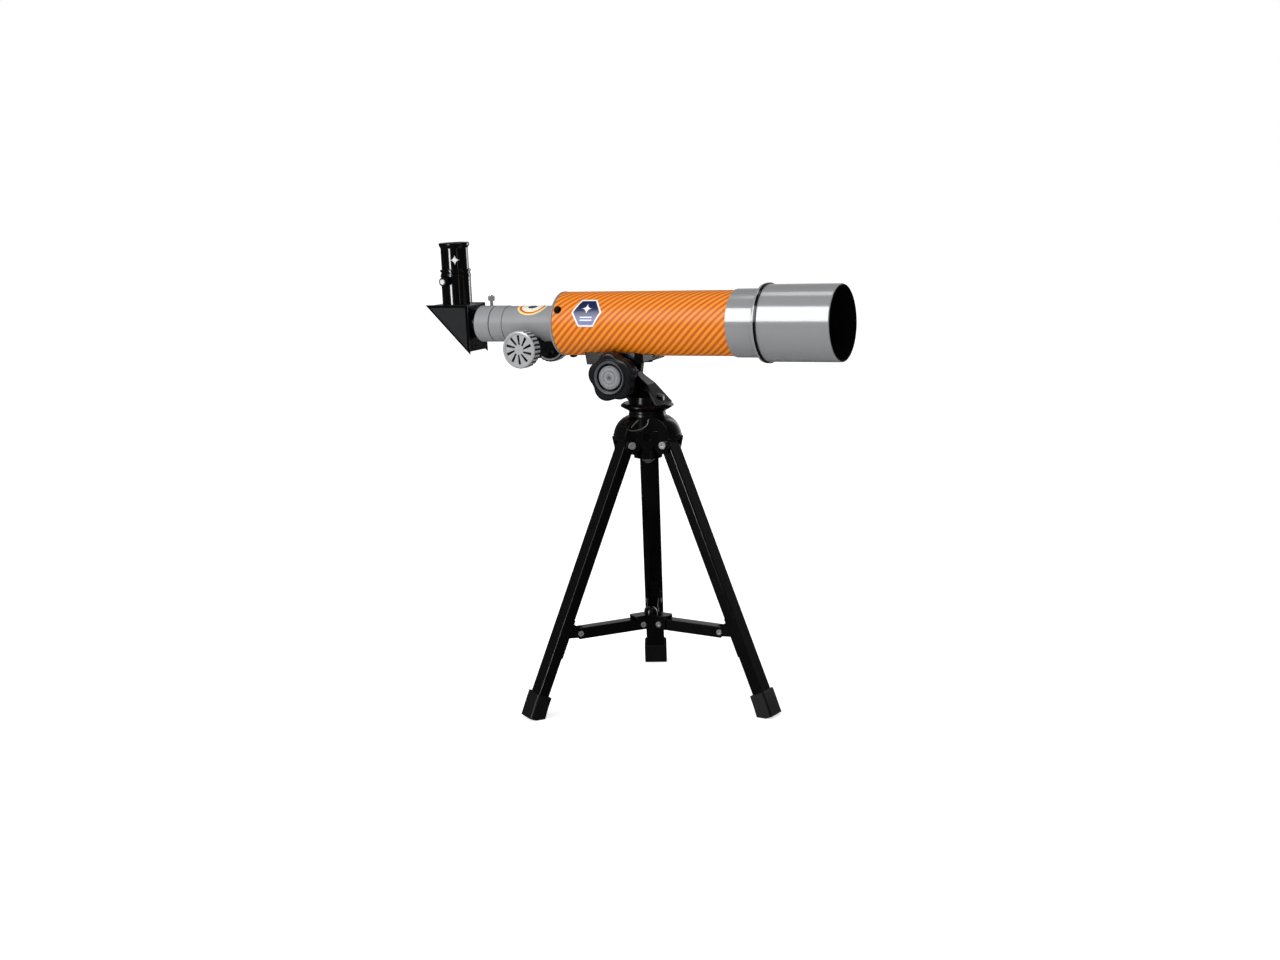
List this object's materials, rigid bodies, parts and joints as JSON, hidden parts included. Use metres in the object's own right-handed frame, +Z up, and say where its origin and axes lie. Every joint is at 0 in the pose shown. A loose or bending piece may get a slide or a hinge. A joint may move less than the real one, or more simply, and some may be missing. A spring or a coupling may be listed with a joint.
{
  "type": "telescope on tripod",
  "caption": "Small refracting telescope with a star diagonal and rack focuser, tilting on a fork head over a folding three-legged table stand.",
  "frame": {"origin": "on the floor under the stand's pan axis", "axes": "+Z up, +X the way the telescope points, +Y to its left"},
  "size_m": [0.3849, 0.2175, 0.3896],
  "materials": {
    "tube_finish": "gloss lacquer over a twill weave",
    "silver_lacquer": "gloss",
    "light_grey_plastic": "satin",
    "black_gloss_plastic": "gloss",
    "black_satin_plastic": "satin",
    "woven_cover": "gloss with woven inset",
    "knob_plastic": "satin",
    "cap_plastic": "satin",
    "wheel_silver": "metallised",
    "dark_inside": "matt",
    "leg_paint": "gloss powder coat",
    "foot_rubber": "matt",
    "bright_plate": "polished",
    "black_screw": "blackened",
    "steel": "satin",
    "brass_work": "machined",
    "optical_glass": "coated",
    "first_surface_mirror": "silvered"
  },
  "bodies": {
    "tripod": {"tripod_hub": "black_gloss_plastic", "hub_screws": "bright_plate", "leg_pivot_pins": "bright_plate", "pan_ring": "black_satin_plastic"},
    "head": {"mount_head": "black_gloss_plastic", "altitude_bolt": "steel", "pan_bolt": "steel"},
    "tilt_knob": {"altitude_knob": "knob_plastic", "altitude_knob_cap": "cap_plastic"},
    "tube": {"main_tube": "tube_finish", "focuser_housing": "light_grey_plastic", "tube_screws": "black_screw", "objective_cell": "silver_lacquer", "crown_lens": "optical_glass", "flint_lens": "optical_glass", "lens_spacer": "brass_work", "lens_retainer": "dark_inside", "dew_shield": "silver_lacquer", "dew_shield_band": "black_satin_plastic", "light_baffles": "dark_inside", "saddle": "black_satin_plastic", "saddle_screws": "black_screw", "gearbox": "black_satin_plastic", "gearbox_screws": "black_screw"},
    "drawtube": {"drawtube": "light_grey_plastic", "socket_ring": "light_grey_plastic", "focus_rack": "brass_work"},
    "focus_drive": {"pinion": "brass_work", "focus_shaft": "bright_plate", "focus_wheel_right": "wheel_silver", "focus_wheel_left": "wheel_silver"},
    "socket_screw": {"socket_thumbscrew": "bright_plate"},
    "diagonal": {"diagonal_body": "black_gloss_plastic", "diagonal_side_covers": "woven_cover", "diagonal_back_plate": "black_satin_plastic", "diagonal_mirror": "first_surface_mirror"},
    "eyepiece_screw": {"eyepiece_thumbscrew": "black_screw"},
    "eyepiece": {"eyepiece_barrel": "black_gloss_plastic", "eye_lens": "optical_glass", "field_lens": "optical_glass", "field_stop": "dark_inside"},
    "spreader": {"spreader_hub": "leg_paint", "spreader_rivets": "bright_plate", "spreader_cap": "black_satin_plastic"},
    "leg_1": {"leg_1": "leg_paint", "foot_1": "foot_rubber", "leg_bracket_1": "leg_paint", "arm_rivet_1": "bright_plate"},
    "spreader_arm_1": {"spreader_arm_1": "leg_paint"},
    "leg_2": {"leg_2": "leg_paint", "foot_2": "foot_rubber", "leg_bracket_2": "leg_paint", "arm_rivet_2": "bright_plate"},
    "spreader_arm_2": {"spreader_arm_2": "leg_paint"},
    "leg_3": {"leg_3": "leg_paint", "foot_3": "foot_rubber", "leg_bracket_3": "leg_paint", "arm_rivet_3": "bright_plate"},
    "spreader_arm_3": {"spreader_arm_3": "leg_paint"}
  },
  "joints": [
    {"name": "pan", "type": "hinge", "parent": "tripod", "child": "head", "pos_m": [0, 0, 0.2506], "axis": [0, 0, 1], "continuous": true},
    {"name": "tilt", "type": "hinge", "parent": "head", "child": "tube", "pos_m": [-0.0203, 0, 0.2804], "axis": [0, -1, 0], "range_deg": [-20, 55]},
    {"name": "tilt_knob_turn", "type": "hinge", "parent": "head", "child": "tilt_knob", "pos_m": [-0.0203, -0.016, 0.2804], "axis": [0, -1, 0], "range_deg": [0, 360]},
    {"name": "focus_slide", "type": "slide", "parent": "tube", "child": "drawtube", "axis": [-0.9996, 0, -0.0289], "range_m": [0, 0.036]},
    {"name": "focus_turn", "type": "hinge", "parent": "tube", "child": "focus_drive", "pos_m": [-0.10573, 0, 0.30104], "axis": [0, -1, 0], "range_deg": [0, 413]},
    {"name": "socket_screw_turn", "type": "hinge", "parent": "drawtube", "child": "socket_screw", "pos_m": [-0.14975, 0, 0.33929], "axis": [-0.0289, 0, 0.9996], "range_deg": [0, 360]},
    {"name": "diagonal_turn", "type": "hinge", "parent": "drawtube", "child": "diagonal", "pos_m": [-0.16557, 0, 0.31882], "axis": [0.9996, 0, 0.0289], "continuous": true},
    {"name": "eyepiece_screw_turn", "type": "hinge", "parent": "diagonal", "child": "eyepiece_screw", "pos_m": [-0.18536, -0.016, 0.35647], "axis": [0, -1, 0], "range_deg": [0, 360]},
    {"name": "eyepiece_slide", "type": "slide", "parent": "diagonal", "child": "eyepiece", "axis": [-0.0289, 0, 0.9996], "range_m": [0, 0.018]},
    {"name": "spreader_lift", "type": "slide", "parent": "tripod", "child": "spreader", "axis": [0, 0, 1], "range_m": [0, 0.04323]},
    {"name": "leg_fold_1", "type": "hinge", "parent": "tripod", "child": "leg_1", "pos_m": [0.02122, -0.00185, 0.2234], "axis": [0.0866, 0.9962, 0], "range_deg": [0, 9]},
    {"name": "arm_fold_1", "type": "hinge", "parent": "leg_1", "child": "spreader_arm_1", "pos_m": [0.07053, -0.00613, 0.0677], "axis": [0.0866, 0.9962, 0], "range_deg": [0, 46.11]},
    {"name": "leg_fold_2", "type": "hinge", "parent": "tripod", "child": "leg_2", "pos_m": [-0.00901, 0.0193, 0.2234], "axis": [-0.9061, -0.4231, 0], "range_deg": [0, 9]},
    {"name": "arm_fold_2", "type": "hinge", "parent": "leg_2", "child": "spreader_arm_2", "pos_m": [-0.02995, 0.06415, 0.0677], "axis": [-0.9061, -0.4231, 0], "range_deg": [0, 46.11]},
    {"name": "leg_fold_3", "type": "hinge", "parent": "tripod", "child": "leg_3", "pos_m": [-0.01221, -0.01745, 0.2234], "axis": [0.8195, -0.5731, 0], "range_deg": [0, 9]},
    {"name": "arm_fold_3", "type": "hinge", "parent": "leg_3", "child": "spreader_arm_3", "pos_m": [-0.04058, -0.05802, 0.0677], "axis": [0.8195, -0.5731, 0], "range_deg": [0, 46.11]}
  ],
  "couplings": [
    {"joint": "focus_turn", "follows": "focus_slide", "rad_per_m": 200},
    {"joint": "spreader_lift", "follows": "leg_fold_1", "m_per_rad": 0.27521},
    {"joint": "arm_fold_1", "follows": "leg_fold_1", "ratio": 5.122},
    {"joint": "leg_fold_2", "follows": "leg_fold_1", "ratio": 1},
    {"joint": "arm_fold_2", "follows": "leg_fold_1", "ratio": 5.122},
    {"joint": "leg_fold_3", "follows": "leg_fold_1", "ratio": 1},
    {"joint": "arm_fold_3", "follows": "leg_fold_1", "ratio": 5.122}
  ]
}
